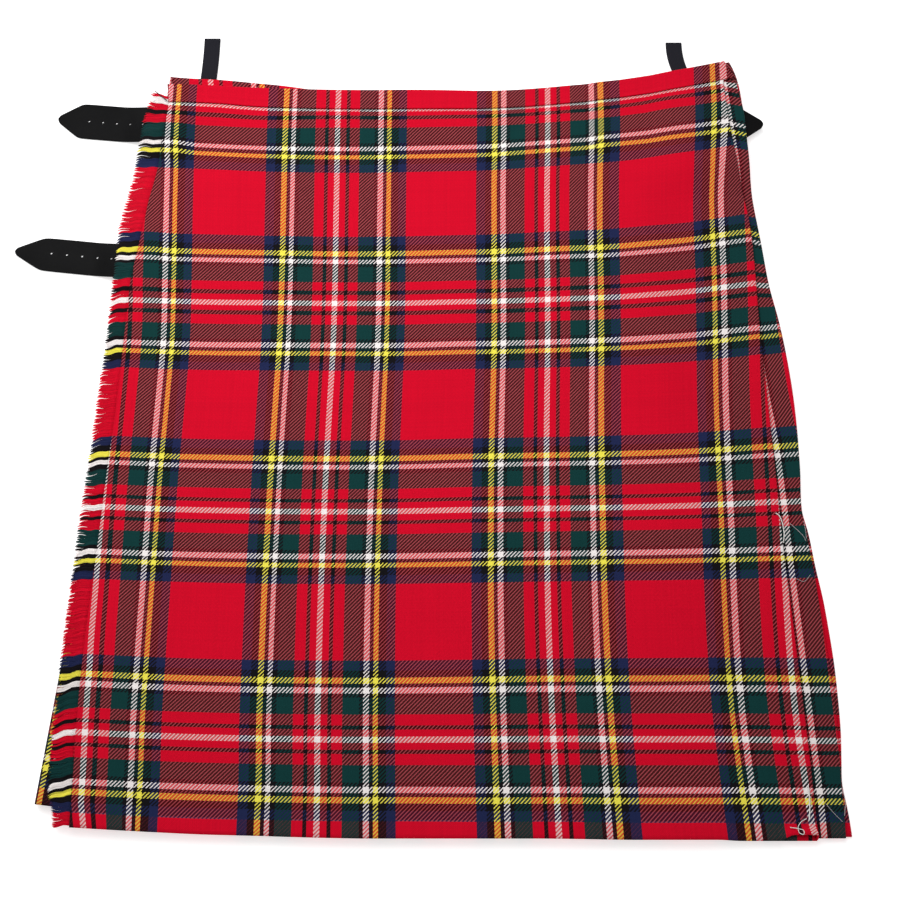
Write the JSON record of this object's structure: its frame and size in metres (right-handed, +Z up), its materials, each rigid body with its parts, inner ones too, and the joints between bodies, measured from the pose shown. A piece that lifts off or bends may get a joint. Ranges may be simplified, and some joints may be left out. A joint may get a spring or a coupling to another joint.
{
  "type": "scottish kilt",
  "caption": "Knee-length wrap kilt in red tartan, laid flat with its fringed front apron up, over a knife-pleated back, with leather side straps, buckles and tape hanger loops.",
  "frame": {"origin": "centre of the bounding box's base, on the surface the kilt lies on", "axes": "+Z up out of the front apron, +Y from the hem to the waistband, +X to the right of the apron as seen from above, away from its fringe"},
  "size_m": [0.6524, 0.6692, 0.016],
  "materials": {
    "red_tartan": "worsted twill in a red tartan with green, navy, black, white and yellow lines, soft and matt",
    "fringe_wool": "freed weft yarns in the tartan's colours, matt",
    "black_leather": "smooth, semi-matt black leather",
    "black_tape": "black woven tape, slight sheen",
    "nickel": "polished nickel plate"
  },
  "bodies": {
    "root": {"over_apron": "red_tartan", "apron_fringe": "fringe_wool", "over_apron_waistband": "red_tartan", "apron_pleat": "red_tartan", "hip_fold": "red_tartan", "back_pleats": "red_tartan", "back_waistband": "red_tartan", "under_apron": "red_tartan", "under_apron_waistband": "red_tartan", "hanger_loop_left": "black_tape", "hanger_loop_right": "black_tape", "strap_waist": "black_leather", "strap_hip": "black_leather", "strap_under_apron": "black_leather", "buckle_waist": "nickel", "prong_waist": "nickel", "buckle_tab_waist": "black_leather", "buckle_hip": "nickel", "prong_hip": "nickel", "buckle_tab_hip": "black_leather", "buckle_under_apron": "nickel", "prong_under_apron": "nickel", "buckle_tab_under_apron": "black_leather"}
  },
  "joints": []
}
